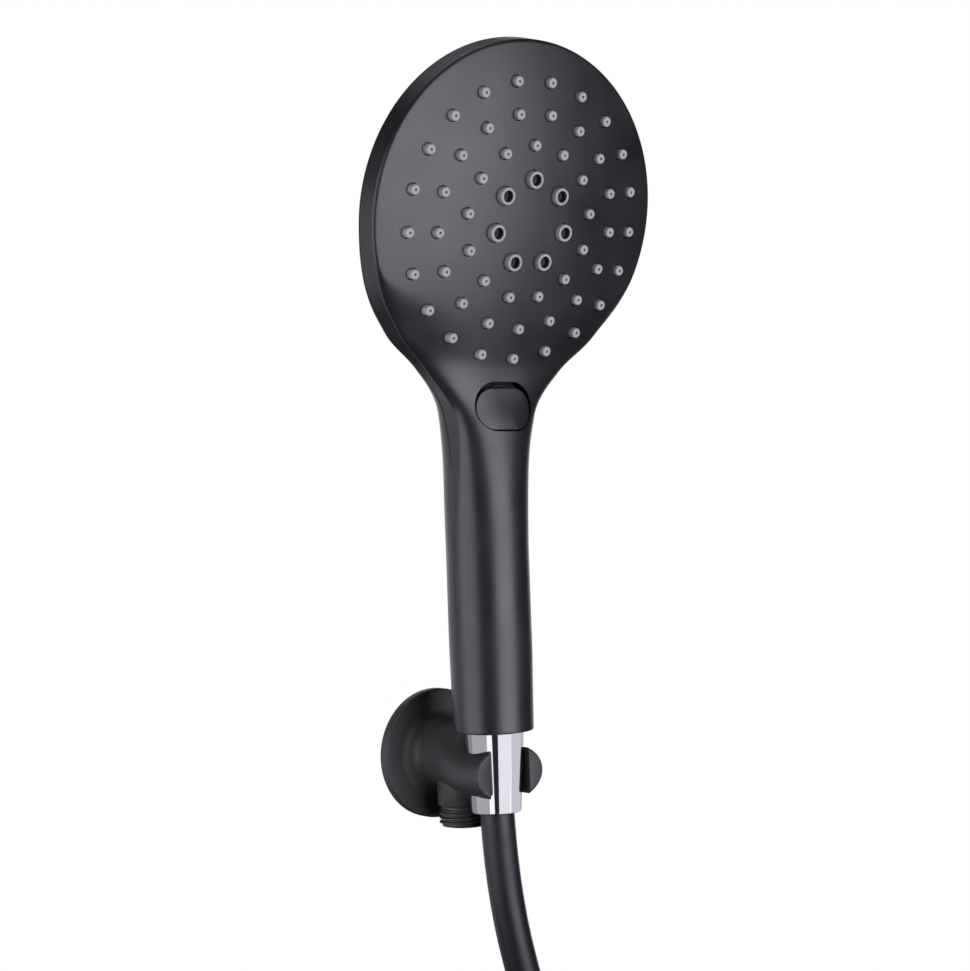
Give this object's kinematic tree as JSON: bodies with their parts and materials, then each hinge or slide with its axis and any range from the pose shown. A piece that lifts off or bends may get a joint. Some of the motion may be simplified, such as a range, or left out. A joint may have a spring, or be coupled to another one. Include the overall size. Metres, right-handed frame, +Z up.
{
  "type": "handheld shower head",
  "caption": "Round handheld shower head with rubber nozzles and a push-button spray changer, standing by its conical hose nut in a wall elbow's open holder.",
  "frame": {"origin": "centre of the wall flange's back face, on the wall", "axes": "+Z up, -Y out of the wall towards the user, +X to the user's right"},
  "size_m": [0.2, 0.0995, 0.576],
  "materials": {
    "black_shell": "satin black",
    "silicone": "light grey, matte",
    "inner_plastic": "natural white moulding",
    "black_rubber": "matte black",
    "steel": "stainless",
    "chrome": "mirror chrome",
    "brass": "turned brass",
    "hose_plastic": "smooth black, half gloss",
    "strap": "black woven strap",
    "black_metal": "satin black"
  },
  "bodies": {
    "bracket": {"wall_elbow": "black_metal", "wall_gasket": "black_rubber"},
    "hose_set": {"hose_tail": "brass", "hose_ferrule": "steel", "hose": "hose_plastic", "hose_coil": "hose_plastic", "coil_tie": "strap", "end_tail": "brass", "end_ferrule": "steel"},
    "handset": {"front_shell": "black_shell", "rear_shell": "black_shell", "nozzle_mat": "silicone", "massage_nozzles": "silicone", "spray_plate": "inner_plastic", "manifold": "inner_plastic", "manifold_gasket": "black_rubber", "spray_unit_screws": "steel", "diverter_housing": "inner_plastic", "diverter_cover": "inner_plastic", "stem_seal": "black_rubber", "water_tube": "inner_plastic", "tube_seals": "black_rubber", "inlet_nipple": "inner_plastic", "flow_limiter": "inner_plastic", "inlet_washer": "black_rubber", "cone_nut": "chrome"},
    "button": {"button_cap": "black_shell", "plunger": "inner_plastic", "button_spring": "steel"},
    "rotor": {"diverter_rotor": "inner_plastic"},
    "far_nut": {"end_nut": "chrome", "end_washer": "black_rubber"}
  },
  "joints": [
    {"name": "lift_out", "type": "slide", "parent": "bracket", "child": "hose_set", "axis": [0, 0, 1], "range_m": [0, 0.03]},
    {"name": "swivel", "type": "hinge", "parent": "hose_set", "child": "handset", "pos_m": [0, -0.0425, 0], "axis": [0, 0, 1], "range_deg": [-45, 45]},
    {"name": "button_press", "type": "slide", "parent": "handset", "child": "button", "axis": [0, 1, 0], "range_m": [0, 0.0025], "stiffness_N_per_m": 1000, "springref_m": -0.002, "deforming": ["button_spring"]},
    {"name": "rotor_turn", "type": "hinge", "parent": "handset", "child": "rotor", "pos_m": [0, -0.0425, 0.143], "axis": [0, 1, 0], "range_deg": [-60, 0]},
    {"name": "far_nut_turn", "type": "hinge", "parent": "hose_set", "child": "far_nut", "pos_m": [-0.1201, -0.088, -0.2044], "axis": [-0.4118, 0, 0.9113], "continuous": true}
  ],
  "couplings": [
    {"joint": "rotor_turn", "follows": "button_press", "rad_per_m": -418.8}
  ]
}
